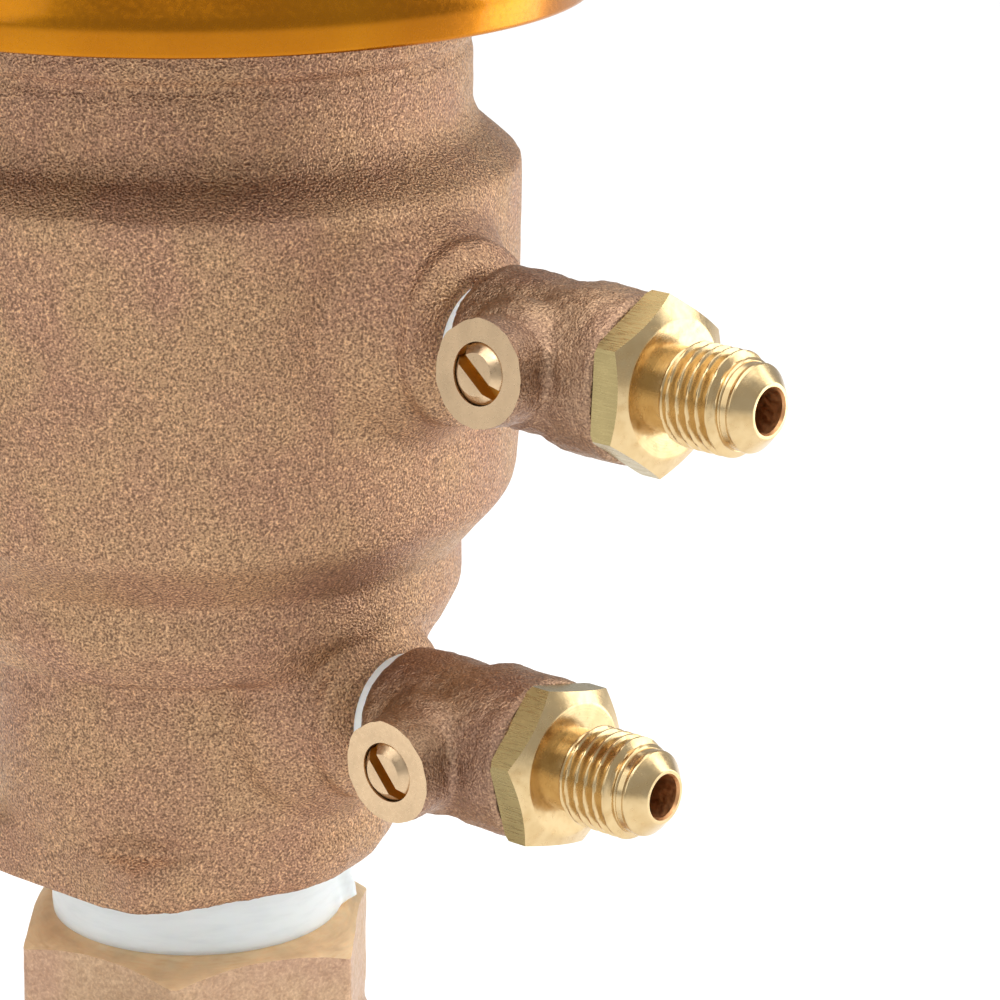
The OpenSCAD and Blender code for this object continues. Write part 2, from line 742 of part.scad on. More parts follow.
valve_body();
bonnet();
bonnet_oring();
canopy();
canopy_screw();
guide_cage();
check_poppet();
check_disc();
check_disc_screw();
check_spring();
air_float();
float_disc();
float_disc_retainer();
float_spring();
at_inlet_nipple() nipple();  // inlet_nipple
at_inlet_nipple() nipple_tape();  // inlet_nipple_tape
at_outlet_nipple() nipple();  // outlet_nipple
at_outlet_nipple() nipple_tape();  // outlet_nipple_tape
ball_valve_body(inlet_hex_turn);  // inlet_valve_body
ball_valve_end();  // inlet_valve_end
ball_valve_ball();  // inlet_valve_ball
ball_valve_seats();  // inlet_valve_seats
ball_valve_stem();  // inlet_valve_stem
ball_valve_packing();  // inlet_valve_packing
ball_valve_packing_nut();  // inlet_valve_packing_nut
ball_valve_handle();  // inlet_valve_handle
ball_valve_handle_nut();  // inlet_valve_handle_nut
at_outlet_valve() ball_valve_body();  // outlet_valve_body
at_outlet_valve() ball_valve_end();  // outlet_valve_end
at_outlet_valve() ball_valve_ball();  // outlet_valve_ball
at_outlet_valve() ball_valve_seats();  // outlet_valve_seats
at_outlet_valve() ball_valve_stem();  // outlet_valve_stem
at_outlet_valve() ball_valve_packing();  // outlet_valve_packing
at_outlet_valve() ball_valve_packing_nut();  // outlet_valve_packing_nut
at_outlet_valve() ball_valve_handle();  // outlet_valve_handle
at_outlet_valve() ball_valve_handle_nut();  // outlet_valve_handle_nut
at_upper_cock() cock_body();  // upper_cock_body
at_upper_cock() cock_adapter(upper_hex_turn);  // upper_cock_adapter
at_upper_cock() cock_ball(upper_slot);  // upper_cock_ball
at_upper_cock() cock_seats();  // upper_cock_seats
at_upper_cock() cock_stem(upper_slot);  // upper_cock_stem
at_upper_cock() cock_oring();  // upper_cock_oring
at_upper_cock() cock_tape();  // upper_cock_tape
at_lower_cock() cock_body();  // lower_cock_body
at_lower_cock() cock_adapter(lower_hex_turn);  // lower_cock_adapter
at_lower_cock() cock_ball(lower_slot);  // lower_cock_ball
at_lower_cock() cock_seats();  // lower_cock_seats
at_lower_cock() cock_stem(lower_slot);  // lower_cock_stem
at_lower_cock() cock_oring();  // lower_cock_oring
at_lower_cock() cock_tape();  // lower_cock_tape
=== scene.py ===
import math

import bmesh
import bpy
from mathutils import Matrix, Vector, noise


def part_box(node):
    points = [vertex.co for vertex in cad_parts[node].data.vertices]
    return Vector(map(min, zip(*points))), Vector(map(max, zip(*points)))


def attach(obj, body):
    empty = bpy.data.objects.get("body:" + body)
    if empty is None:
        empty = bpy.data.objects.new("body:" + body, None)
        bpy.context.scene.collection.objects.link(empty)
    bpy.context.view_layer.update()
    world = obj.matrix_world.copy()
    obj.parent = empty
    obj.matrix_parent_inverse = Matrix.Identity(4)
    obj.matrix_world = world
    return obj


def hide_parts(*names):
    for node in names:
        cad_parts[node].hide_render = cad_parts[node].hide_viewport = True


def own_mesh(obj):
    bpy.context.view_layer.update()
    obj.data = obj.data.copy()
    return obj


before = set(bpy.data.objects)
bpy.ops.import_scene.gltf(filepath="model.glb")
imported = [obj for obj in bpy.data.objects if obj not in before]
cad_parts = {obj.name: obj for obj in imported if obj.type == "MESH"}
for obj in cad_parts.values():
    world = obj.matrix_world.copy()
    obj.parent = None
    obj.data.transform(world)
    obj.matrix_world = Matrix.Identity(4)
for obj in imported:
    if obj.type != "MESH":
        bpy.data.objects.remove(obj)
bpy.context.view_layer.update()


# ---- Body casting ----
# Red bronze, sand cast in two halves, blasted clean and left unpolished. Only
# its sockets, seat and neck are machined. The pipe nipples, the bonnet and the
# test cocks all screw into it.

MM = 0.001
BASE = "casting_and_valves"
TO_X = Matrix.Rotation(math.radians(90), 4, "Y")
TO_FRONT = Matrix.Rotation(math.radians(90), 4, "X")

casting_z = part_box("valve_body")[0].z / MM
casting_h = 100
hub_r, hub_corner_r = 24.4, 27.3
chamber_r, neck_r, rim_r = 37.3, 31.8, 32.4
rim_of_boss, lip_of_boss = 10.2, 7.6
upper_boss_x, upper_h = 43.9, 67.0
upper_root_lift = 0.9
lower_boss_x, lower_h = 31.3, 22.3
outlet_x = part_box("valve_body")[0].x / MM
outlet_h = 61.0
socket_r, socket_depth, throat_r = 16.9, 17, 13


def shift(x=0.0, y=0.0, z=0.0):
    return Matrix.Translation((x * MM, y * MM, z * MM))


def rounded(corners, facets=5):
    """An outline whose corners, given as (radius, height, rounding), become short curves."""
    outline = []
    for i, (r, h, rounding) in enumerate(corners):
        here = Vector((r, h))
        if not rounding or i in (0, len(corners) - 1):
            outline.append(here)
            continue
        back = Vector(corners[i - 1][:2]) - here
        ahead = Vector(corners[i + 1][:2]) - here
        reach = rounding / math.tan(max(back.angle(ahead), 0.05) / 2)
        reach = min(reach, 0.49 * back.length, 0.49 * ahead.length)
        first = here + back.normalized() * reach
        last = here + ahead.normalized() * reach
        for k in range(facets + 1):
            t = k / facets
            outline.append(first.lerp(here, t).lerp(here.lerp(last, t), t))
    return outline


def turned(outline, steps=96, closed=False):
    """A bmesh turned round Z from (radius, height) points in millimetres."""
    bm = bmesh.new()
    verts = [bm.verts.new((p[0] * MM, 0, p[1] * MM)) for p in outline]
    ends = verts[1:] + verts[:1] if closed else verts[1:]
    edges = [bm.edges.new(pair) for pair in zip(verts, ends)]
    bmesh.ops.spin(bm, geom=verts + edges, cent=(0, 0, 0), axis=(0, 0, 1),
                   angle=2 * math.pi, steps=steps, use_merge=True)
    bmesh.ops.remove_doubles(bm, verts=bm.verts, dist=1e-6)
    bmesh.ops.recalc_face_normals(bm, faces=bm.faces)
    return bm


def prism(sides, r, low, high):
    """A bmesh bar with a regular outline, standing along Z between two heights."""
    bm = bmesh.new()
    bmesh.ops.create_cone(bm, cap_ends=True, segments=sides, radius1=r * MM, radius2=r * MM,
                          depth=(high - low) * MM)
    bmesh.ops.transform(bm, matrix=shift(z=(low + high) / 2), verts=bm.verts)
    return bm


def box_of(low, high):
    bm = bmesh.new()
    bmesh.ops.create_cube(bm, size=1)
    size = [(b - a) * MM for a, b in zip(low, high)]
    bmesh.ops.scale(bm, vec=size, verts=bm.verts)
    middle = [(a + b) / 2 for a, b in zip(low, high)]
    bmesh.ops.transform(bm, matrix=shift(*middle), verts=bm.verts)
    return bm


def placed(bm, *turns):
    """Moves a bmesh by each matrix in turn."""
    for turn in turns:
        bmesh.ops.transform(bm, matrix=turn, verts=bm.verts)
    return bm


def piece_of(name, shapes, *materials):
    """One object from one or more bmeshes."""
    mesh = bpy.data.meshes.new(name)
    whole = bmesh.new()
    for shape in shapes:
        part = bpy.data.meshes.new("part")
        shape.to_mesh(part)
        shape.free()
        whole.from_mesh(part)
        bpy.data.meshes.remove(part)
    whole.to_mesh(mesh)
    whole.free()
    obj = bpy.data.objects.new(name, mesh)
    bpy.context.collection.objects.link(obj)
    for material in materials:
        mesh.materials.append(material)
    return obj


def apply_modifiers(obj):
    bpy.context.view_layer.update()
    graph = bpy.context.evaluated_depsgraph_get()
    mesh = bpy.data.meshes.new_from_object(obj.evaluated_get(graph))
    old = obj.data
    obj.modifiers.clear()
    obj.data = mesh
    mesh.name = old.name
    bpy.data.meshes.remove(old)
    return obj


def machine(obj, shapes, material, operation="DIFFERENCE"):
    """Cuts obj with shapes, or joins them to it, and leaves the tool's material on the new faces."""
    for shape in shapes:
        tool = piece_of("tool", [shape], material)
        change = obj.modifiers.new("machine", "BOOLEAN")
        change.operation = operation
        change.solver = "EXACT"
        change.material_mode = "TRANSFER"
        change.object = tool
        apply_modifiers(obj)
        bpy.data.objects.remove(tool)
    return obj


def cast_skin(obj, grain):
    """Flows overlapping shapes into one skin, as metal fills a mould, with faces about grain mm wide."""
    skin = obj.modifiers.new("skin", "REMESH")
    skin.mode = "VOXEL"
    skin.voxel_size = grain * MM
    return apply_modifiers(obj)


def worked(obj, change):
    """Runs change on obj's mesh as a bmesh."""
    bm = bmesh.new()
    bm.from_mesh(obj.data)
    change(bm)
    bm.to_mesh(obj.data)
    bm.free()
    return obj


def smoothed(bm, passes, near=lambda co: True):
    """Evens out the vertices for which near is true, as a pattern maker's fillet does."""
    verts = [v for v in bm.verts if near(v.co)]
    for _ in range(passes):
        bmesh.ops.smooth_vert(bm, verts=verts, factor=0.5, use_axis_x=True, use_axis_y=True,
                              use_axis_z=True)


def roughened(bm, waves):
    """Lifts the skin by noise. Each wave is its width and its height in mm."""
    bm.normal_update()
    for v in bm.verts:
        lift = sum(h * noise.noise(v.co / (w * MM)) for w, h in waves)
        v.co += v.normal * lift * MM


def shade(obj, sharp=35):
    obj.data.shade_smooth()
    obj.data.set_sharp_from_angle(angle=math.radians(sharp))
    return obj


class Finish:
    """A material's nodes, added one after another."""

    def __init__(self, name, base, metallic, roughness, coat=0.0):
        self.material = bpy.data.materials.new(name)
        self.material.use_nodes = True
        self.tree = self.material.node_tree
        self.shader = self.tree.nodes["Principled BSDF"]
        self.shader.inputs["Base Color"].default_value = (*base, 1)
        self.shader.inputs["Metallic"].default_value = metallic
        self.shader.inputs["Roughness"].default_value = roughness
        self.shader.inputs["Coat Weight"].default_value = coat
        self.place = self.add("ShaderNodeTexCoord").outputs["Object"]

    def add(self, kind, **settings):
        node = self.tree.nodes.new(kind)
        for key, value in settings.items():
            setattr(node, key, value)
        return node

    def link(self, out, into):
        self.tree.links.new(out, into)

    def stretched(self, x, y, z):
        """The place on the piece, with each axis scaled."""
        node = self.add("ShaderNodeMapping")
        node.inputs["Scale"].default_value = (x, y, z)
        self.link(self.place, node.inputs["Vector"])
        return node.outputs["Vector"]

    def noise(self, width, detail=2.0, place=None):
        """Noise whose lumps are about width mm across, from 0 to 1."""
        node = self.add("ShaderNodeTexNoise")
        node.inputs["Scale"].default_value = 1 / (width * MM)
        node.inputs["Detail"].default_value = detail
        self.link(place or self.place, node.inputs["Vector"])
        return node.outputs["Fac"]

    def spread(self, value, low, high, to_low, to_high):
        node = self.add("ShaderNodeMapRange")
        for key, number in zip(("From Min", "From Max", "To Min", "To Max"), (low, high, to_low, to_high)):
            node.inputs[key].default_value = number
        self.link(value, node.inputs["Value"])
        return node.outputs["Result"]

    def blend(self, how_much, first, second, mode="MIX"):
        node = self.add("ShaderNodeMix", data_type="RGBA", blend_type=mode)
        self.link(how_much, node.inputs["Factor"])
        for value, socket in ((first, node.inputs[6]), (second, node.inputs[7])):
            if isinstance(value, tuple):
                socket.default_value = (*value, 1)
            else:
                self.link(value, socket)
        return node.outputs[2]

    def colour(self, value):
        self.link(value, self.shader.inputs["Base Color"])

    def roughness(self, value):
        self.link(value, self.shader.inputs["Roughness"])

    def bumps(self, *layers):
        """Bump from (height value, height in mm) layers."""
        normal = None
        for height, tall in layers:
            node = self.add("ShaderNodeBump")
            node.inputs["Strength"].default_value = 1
            node.inputs["Distance"].default_value = tall * MM
            self.link(height, node.inputs["Height"])
            if normal:
                self.link(normal, node.inputs["Normal"])
            normal = node.outputs["Normal"]
        self.link(normal, self.shader.inputs["Normal"])


def cast_bronze(name, pink, gold, grain=0.26, sparkle=1.0):
    """Blasted sand casting: fine bright grains over a skin that drifts from pinkish to golden."""
    made = Finish(name, pink, 1.0, 0.5)
    drift = made.spread(made.noise(11, 3), 0.38, 0.62, 0, 1)
    tone = made.blend(drift, pink, gold)
    fine = made.noise(grain, 2)
    dark = tuple(0.42 * c for c in pink)
    tone = made.blend(made.spread(fine, 0.36, 0.52, 0.6 * sparkle, 0), tone, dark)
    bright = tuple(min(1, 1.6 * c) for c in gold)
    made.colour(made.blend(made.spread(fine, 0.56, 0.7, 0, 0.7 * sparkle), tone, bright))
    made.roughness(made.spread(made.noise(grain * 2.2, 1), 0.3, 0.7, 0.36, 0.6))
    made.bumps((made.noise(2.6, 2), 0.10), (fine, 0.16 * sparkle))
    return made.material


def cut_brass(name, base, stretch=(1, 1, 1), roughness=0.24, depth=0.004):
    """Turned or milled brass, with tool marks drawn out across the stretched axes."""
    made = Finish(name, base, 1.0, roughness)
    marks = made.noise(0.5, 3, made.stretched(*stretch))
    darker = tuple(0.72 * c for c in base)
    made.colour(made.blend(made.spread(made.noise(3, 3), 0.35, 0.7, 0, 0.5), base, darker))
    made.roughness(made.spread(marks, 0.3, 0.7, roughness * 0.75, roughness * 1.4))
    made.bumps((marks, depth))
    return made.material


bronze = cast_bronze("body_bronze", (0.455, 0.26, 0.165), (0.50, 0.31, 0.175), sparkle=1.5)
bore_brass = cut_brass("bore_brass", (0.72, 0.50, 0.28), (0.1, 0.1, 4))

profile = rounded([
    (0, 0, 0), (hub_r - 0.6, 0, 1.0), (hub_r - 0.6, 6.5, 1), (hub_r, 9, 2), (hub_r, 27, 1),
    (28.6, 27.7, 0.4), (30.9, 32.4, 2.5), (30.9, 37.6, 1.6), (36.9, 44.2, 5), (chamber_r, 50, 2),
    (chamber_r, 81.4, 0.9), (neck_r + 0.6, 85.6, 0.5), (neck_r + 0.5, 86.4, 0.3), (neck_r, 87, 0.4),
    (neck_r, 93.8, 0.5), (neck_r - 0.6, 94.8, 0.3), (rim_r, 95.8, 0.4), (rim_r, casting_h, 0.8),
    (0, casting_h, 0)])


def boss_shape(face_x, h):
    """A boss with a flared root and a domed face, running out along +X to face_x."""
    outline = rounded([(0, face_x - 14, 0), (15, face_x - 14, 1), (14.2, face_x - 8, 3),
                       (rim_of_boss, face_x - 3.4, 1), (rim_of_boss, face_x - 1.5, 0.5),
                       (lip_of_boss, face_x + 0.3, 0.6), (0, face_x + 0.3, 0)])
    return placed(turned(outline, 64), TO_X, shift(z=h))


def hub_hexagon(corner_r, length):
    """The cast hexagon round a hub's end, its top corners sloped down."""
    flange = piece_of("flange", [prism(6, corner_r, 0, length + 2)])
    slope = turned(rounded([(0, 0, 0), (corner_r + 0.2, 0, 2.6), (corner_r + 0.2, length - 0.9, 0),
                            (corner_r - 3.8, length + 1.3, 0), (0, length + 1.3, 0)]))
    machine(flange, [slope], None, "INTERSECT")
    bm = bmesh.new()
    bm.from_mesh(flange.data)
    bpy.data.objects.remove(flange)
    return bm


outlet_hub = turned(rounded([(0, 0, 0), (21.6, 0, 0.8), (21.6, 28, 0), (0, 28, 0)]), 80)
casting = piece_of("casting", [
    turned(profile, 160),
    placed(hub_hexagon(hub_corner_r, 5.5), Matrix.Rotation(math.radians(30), 4, "Z")),
    boss_shape(upper_boss_x, upper_h + upper_root_lift),
    boss_shape(lower_boss_x, lower_h),
    placed(outlet_hub, TO_X, shift(outlet_x, 0, outlet_h)),
    placed(hub_hexagon(25.1, 5.5), TO_X, shift(outlet_x, 0, outlet_h))], bronze)
cast_skin(casting, 0.62)


def arrow_lift(co):
    """How much of the raised flow arrow stands at a place on the chamber's front, from 0 to 1."""
    x, h = abs(co.x / MM), co.z / MM
    if co.y > -0.03:
        return 0
    head = max(x * 0.81 + (h - 67) * 0.59, 56 - h)
    shaft = max(x - 2.6, h - 57, 47 - h)
    return min(max(0.5 - min(head, shaft) / 0.7, 0), 1)


def worn_end(co):
    """How much of the inlet hub's end is rounded away below the lower test cock, in mm."""
    low = min(max(1 - co.z / MM / 5.5, 0), 1)
    turn = max(math.cos(math.atan2(co.y, co.x) - 0.3), 0) ** 3
    proud = max(math.hypot(co.x, co.y) / MM - hub_r, 0) * min(max(3 - co.z / MM / 3, 0), 1)
    return turn * (proud + 4.6 * (1 - math.sqrt(1 - low * low)))


def finish_casting(bm):
    for v in bm.verts:
        if v.co.z < 0.009 and v.co.x > 0:
            v.co -= Vector((v.co.x, v.co.y, 0)).normalized() * MM * worn_end(v.co)
    smoothed(bm, 1)
    for face_x, h in ((upper_boss_x, upper_h + upper_root_lift), (lower_boss_x, lower_h)):
        def near_root(co, face_x=face_x, h=h):
            away = math.hypot(co.y, co.z - h * MM) / MM
            return 10.4 < away < 19 and face_x - 16 < co.x / MM < face_x - 3.8
        smoothed(bm, 9, near_root)
    def near_outlet(co):
        away = math.hypot(co.y, co.z - outlet_h * MM) / MM
        return 20 < away < 28 and -41 < co.x / MM < -20
    smoothed(bm, 14, near_outlet)
    for v in bm.verts:
        lift = arrow_lift(v.co)
        if lift:
            v.co += Vector((v.co.x, v.co.y, 0)).normalized() * 0.6 * MM * lift
    roughened(bm, [(9, 0.16), (2.4, 0.05)])


worked(casting, finish_casting)
cavity = rounded([
    (0, -2, 0), (socket_r + 0.6, -2, 0), (socket_r, 0.6, 0), (socket_r, socket_depth, 0.5),
    (throat_r, socket_depth, 0.5), (throat_r, 33, 0.3), (15, 33, 0.3), (15, 30, 0.5), (26, 30, 2),
    (26, 40.5, 2), (32, 46.5, 3), (32, 81, 2), (28, 85, 1), (28, 102, 0), (0, 102, 0)], 3)
machine(casting, [
    turned(cavity, 96),
    placed(turned([(0, -1), (socket_r, -1), (socket_r, socket_depth), (throat_r, socket_depth),
                   (throat_r, 50), (0, 50)], 80), TO_X, shift(outlet_x, 0, outlet_h)),
    placed(prism(48, 6.75, -11, 1), TO_X, shift(upper_boss_x, 0, upper_h)),
    placed(prism(48, 6.75, -10, 1), TO_X, shift(lower_boss_x, 0, lower_h)),
    placed(prism(32, 3, 5, 21), TO_X, shift(0, 0, lower_h))], bore_brass)
worked(casting, lambda bm: placed(bm, shift(z=casting_z)))
shade(casting, 40)
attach(casting, BASE)
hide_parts("valve_body")


# ---- Canopy and its screw ----
# Spun sheet metal with a clear gold coating. It keeps rain out of the air inlet,
# and one screw through its middle holds it on the bonnet's bridge.

canopy_low, canopy_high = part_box("canopy")
canopy_r = (canopy_high.x - canopy_low.x) / 2 / MM
canopy_bottom, canopy_top = canopy_low.z / MM, canopy_high.z / MM
sheet_t = 1.5


def gold_coat():
    made = Finish("gold_coat", (0.47, 0.165, 0.005), 1.0, 0.24, coat=0.12)
    made.shader.inputs["Coat Roughness"].default_value = 0.05
    made.colour(made.blend(made.spread(made.noise(14, 2), 0.3, 0.7, 0, 1), (0.50, 0.185, 0.006),
                           (0.42, 0.14, 0.004)))
    made.roughness(made.spread(made.noise(0.6, 3), 0.3, 0.7, 0.2, 0.3))
    made.bumps((made.noise(5, 1), 0.04), (made.noise(0.7, 2), 0.006))
    return made.material


gold = gold_coat()
rim_top = canopy_bottom + 7
canopy = piece_of("gold_canopy", [turned(rounded([
    (3.3, canopy_top, 0), (13, canopy_top, 3), (30, canopy_top - 5.5, 20), (42.5, rim_top + 3.2, 12),
    (canopy_r, canopy_bottom + 3.5, 4), (canopy_r - 0.2, canopy_bottom, 0.6),
    (canopy_r - sheet_t, canopy_bottom + 0.2, 0.5), (canopy_r - sheet_t, canopy_bottom + 4, 3),
    (41.4, rim_top + 2.2, 10), (29.5, canopy_top - 7.2, 18), (12, canopy_top - sheet_t, 3),
    (3.3, canopy_top - sheet_t, 0)], 8), 160, closed=True)], gold)
shade(canopy, 50)
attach(canopy, BASE)
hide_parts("canopy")


def satin_steel(name, base=(0.62, 0.62, 0.61), roughness=0.3):
    made = Finish(name, base, 1.0, roughness)
    made.colour(made.blend(made.noise(2.5, 3), base, tuple(0.8 * c for c in base)))
    made.roughness(made.spread(made.noise(0.35, 3), 0.3, 0.7, roughness * 0.8, roughness * 1.3))
    made.bumps((made.noise(0.25, 2), 0.004))
    return made.material


steel = satin_steel("screw_steel")
head_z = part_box("canopy_screw")[1].z / MM
canopy_screw = piece_of("canopy_cap_screw", [turned(rounded([
    (0, head_z - 9.9, 0), (3, head_z - 9.9, 0.4), (3, head_z - 3.4, 0), (6.5, head_z - 3.4, 0.3),
    (6.5, head_z - 1.4, 1.4), (0, head_z, 0)]), 64)], steel)
machine(canopy_screw, [box_of((-8, -0.8, head_z - 1.7), (8, 0.8, head_z + 1))], steel)
shade(canopy_screw)
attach(canopy_screw, BASE)
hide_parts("canopy_screw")


# ---- Bonnet, its O-ring and the guide cage ----
# A turned brass bonnet with four posts screws into the neck on an O-ring. The
# white moulded cage below it guides the check poppet.

def turned_brass(name, base, roughness, along="X", centre=(0, 0, 0)):
    """Brass off the lathe: fine rings round a shaft that runs along X, Y or Z through centre (mm)."""
    made = Finish(name, base, 1.0, roughness)
    shifted = made.add("ShaderNodeMapping")
    shifted.inputs["Location"].default_value = [-c * MM for c in centre]
    made.link(made.place, shifted.inputs["Vector"])
    parts = made.add("ShaderNodeSeparateXYZ")
    made.link(shifted.outputs["Vector"], parts.inputs["Vector"])
    across = made.add("ShaderNodeCombineXYZ")
    for axis in "XYZ":
        if axis != along:
            made.link(parts.outputs[axis], across.inputs[axis])
    radius = made.add("ShaderNodeVectorMath", operation="LENGTH")
    made.link(across.outputs["Vector"], radius.inputs["Vector"])
    ring = made.add("ShaderNodeCombineXYZ")
    made.link(parts.outputs[along], ring.inputs["X"])
    made.link(radius.outputs["Value"], ring.inputs["Y"])
    marks = made.noise(0.16, 2, ring.outputs["Vector"])
    worn = made.noise(1.6, 3)
    darker = tuple(c * k for c, k in zip(base, (0.8, 0.72, 0.6)))
    made.colour(made.blend(made.spread(worn, 0.42, 0.75, 0, 0.6), base, darker))
    made.roughness(made.spread(made.noise(0.8, 2), 0.3, 0.7, roughness * 0.8, roughness * 1.3))
    made.bumps((marks, 0.006), (worn, 0.02))
    return made.material


bonnet_brass = turned_brass("bonnet_brass", (0.78, 0.60, 0.30), 0.26, "Z")


def moulded(name, base, roughness):
    made = Finish(name, base, 0.0, roughness)
    made.colour(made.blend(made.noise(4, 3), base, tuple(0.88 * c for c in base)))
    made.roughness(made.spread(made.noise(0.7, 3), 0.3, 0.7, roughness * 0.85, roughness * 1.2))
    made.bumps((made.noise(0.3, 3), 0.012))
    return made.material


def finish_nodes(material, *names):
    """Gives CAD nodes a finish. Their shapes stay as they are."""
    for name in names:
        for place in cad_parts[name].material_slots:
            place.material = material


white_plastic = moulded("white_acetal", (0.80, 0.77, 0.68), 0.42)
black_rubber = moulded("black_rubber", (0.025, 0.025, 0.026), 0.6)
seat_white = moulded("seat_ptfe", (0.84, 0.84, 0.80), 0.35)
finish_nodes(bonnet_brass, "bonnet")
finish_nodes(white_plastic, "guide_cage", "check_poppet", "air_float")
finish_nodes(black_rubber, "bonnet_oring", "check_disc", "float_disc", "upper_cock_oring",
             "lower_cock_oring")
finish_nodes(steel, "check_disc_screw", "float_disc_retainer")
finish_nodes(seat_white, "inlet_valve_seats", "outlet_valve_seats", "inlet_valve_packing",
             "outlet_valve_packing", "upper_cock_seats", "lower_cock_seats")


# ---- Springs of the check and the float ----
# Stainless wire coils. In the valve the bottom of each rides up on its poppet or
# float while the top stays against the cage or the bonnet's bridge, so the coil
# shortens. Here each coil is built at rest and stays with the casting.

def coil_spring(node, coil_r, wire_r, turns):
    low, high = (corner.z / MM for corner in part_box(node))
    steps = turns * 24
    bm = bmesh.new()
    bmesh.ops.create_circle(bm, cap_ends=True, segments=10, radius=wire_r * MM)
    placed(bm, TO_FRONT, shift(coil_r, 0, low + wire_r))
    bmesh.ops.spin(bm, geom=bm.verts[:] + bm.edges[:] + bm.faces[:], cent=(0, 0, 0), axis=(0, 0, 1),
                   dvec=(0, 0, (high - low - 2 * wire_r) / steps * MM), angle=2 * math.pi * turns,
                   steps=steps)
    bmesh.ops.recalc_face_normals(bm, faces=bm.faces)
    spring = shade(piece_of(node + "_coil", [bm], steel))
    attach(spring, BASE)
    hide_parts(node)
    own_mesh(spring)


coil_spring("check_spring", 8, 0.65, 6)
coil_spring("float_spring", 5.6, 0.5, 8)


# ---- Pipe nipples and their tape ----
# Plain brass pipe joins the casting to each valve. White sealing tape is wound
# round its threads and stands out a little where the pipe leaves the sockets.

pipe_r, pipe_gap, valve_len = 16.7, 8.4, 80.6
finish_nodes(cast_bronze("pipe_bronze", (0.40, 0.25, 0.15), (0.46, 0.31, 0.17), 0.2, 0.5), "inlet_nipple",
             "outlet_nipple")


def tape_white():
    made = Finish("sealing_tape", (0.86, 0.87, 0.87), 0.0, 0.42)
    made.shader.inputs["Subsurface Weight"].default_value = 0.15
    made.shader.inputs["Subsurface Scale"].default_value = 0.0015
    folds = made.noise(1.3, 3, made.stretched(0.35, 0.35, 1.8))
    made.colour(made.blend(made.spread(folds, 0.45, 0.8, 0, 0.5), (0.88, 0.88, 0.87), (0.76, 0.76, 0.76)))
    made.roughness(made.spread(folds, 0.3, 0.7, 0.36, 0.52))
    made.bumps((folds, 0.03), (made.noise(0.35, 3, made.stretched(0.5, 0.5, 2)), 0.012))
    return made.material


tape = tape_white()


def tape_wrap(name, low, high, open_low, open_high, place, loose_at):
    """Tape round a pipe between two heights. Between the open heights it lifts at the angle loose_at."""
    rows = [low + (high - low) * k / 66 for k in range(67)]
    outline = [(pipe_r + 0.14, h) for h in rows] + [(pipe_r + 0.02, h) for h in reversed(rows)]
    bm = turned(outline, 220, closed=True)
    for v in bm.verts:
        h = v.co.z / MM
        inside = min(h - open_low, open_high - h)
        free = min(max(inside / 1.2, 0), 1)
        angle = math.atan2(v.co.y, v.co.x)
        away = math.atan2(math.sin(angle - loose_at), math.cos(angle - loose_at))
        flap = 1.9 * math.exp(-(away / 0.16) ** 2) * (0.75 + 0.25 * math.sin(angle * 34 + h * 0.9))
        wrap = 0.05 * ((h / 4.3 + angle / (2 * math.pi)) % 1)
        crease = 0.10 * noise.noise(Vector((angle * 2.2, h * 0.35, 3.1)))
        out = Vector((v.co.x, v.co.y, 0)).normalized()
        v.co += out * MM * free * max(flap + wrap + crease + 0.06, 0)
    wrapped = piece_of(name, [placed(bm, place)], tape)
    shade(wrapped, 60)
    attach(wrapped, BASE)
    return wrapped


inlet_tape = tape_wrap("inlet_pipe_tape", valve_len - 12, valve_len + pipe_gap + 12, valve_len,
                       valve_len + pipe_gap, Matrix.Identity(4), math.radians(38))
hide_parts("inlet_nipple_tape")
outlet_valve_place = shift(outlet_x - pipe_gap - valve_len, 0, casting_z + outlet_h) @ TO_X
outlet_tape = tape_wrap("outlet_pipe_tape", valve_len - 12, valve_len + pipe_gap + 12, valve_len,
                        valve_len + pipe_gap, outlet_valve_place, math.radians(200))
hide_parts("outlet_nipple_tape")


# ---- Ball valves ----
# Each shutoff valve is a bronze casting with an end piece screwed into it. The
# ends have hexagons, turned at the mouth. A packing nut holds the stem, and a
# nut holds the zinc plated tee handle on it.

valve_mid = 40.3
valve_bronze = cast_bronze("valve_bronze", (0.52, 0.33, 0.22), (0.55, 0.37, 0.23), 0.34, 0.4)
mouth_brass = cut_brass("mouth_brass", (0.96, 0.73, 0.46), (0.3, 0.3, 3), 0.55, 0.004)
nut_brass = cut_brass("nut_brass", (0.76, 0.60, 0.28), (3, 3, 0.25), 0.25)
zinc = satin_steel("zinc_plate", (0.60, 0.61, 0.63), 0.34)
chrome = satin_steel("chrome_ball", (0.78, 0.78, 0.79), 0.09)


def threaded_rod(root, crest, pitch, low, high, steps=72, fade=1.0):
    """A rod whose thread runs from root to crest radius, fading over fade mm at both ends."""
    count = int((high - low) / pitch * 12)
    rows = [low + (high - low) * k / count for k in range(count + 1)]
    bm = turned([(0, low)] + [(root, h) for h in rows] + [(0, high)], steps)
    for v in bm.verts:
        h = v.co.z / MM
        across = Vector((v.co.x, v.co.y, 0))
        if across.length < root * MM * 0.9:
            continue
        phase = (h / pitch - math.atan2(v.co.y, v.co.x) / (2 * math.pi)) % 1
        ridge = min(max(1.35 - abs(phase - 0.5) * 3.4, 0), 1)
        ends = min(max(min(h - low, high - h) / fade, 0), 1)
        v.co += across.normalized() * MM * (crest - root) * ridge * ends
    return bm


def hexagon(across_flats, low, high):
    """A hexagonal bar with a flat facing -Y and corners on the X axis."""
    bar = prism(6, across_flats / 2 / math.cos(math.radians(30)), low, high)
    return placed(bar, Matrix.Rotation(math.radians(30), 4, "Z"))


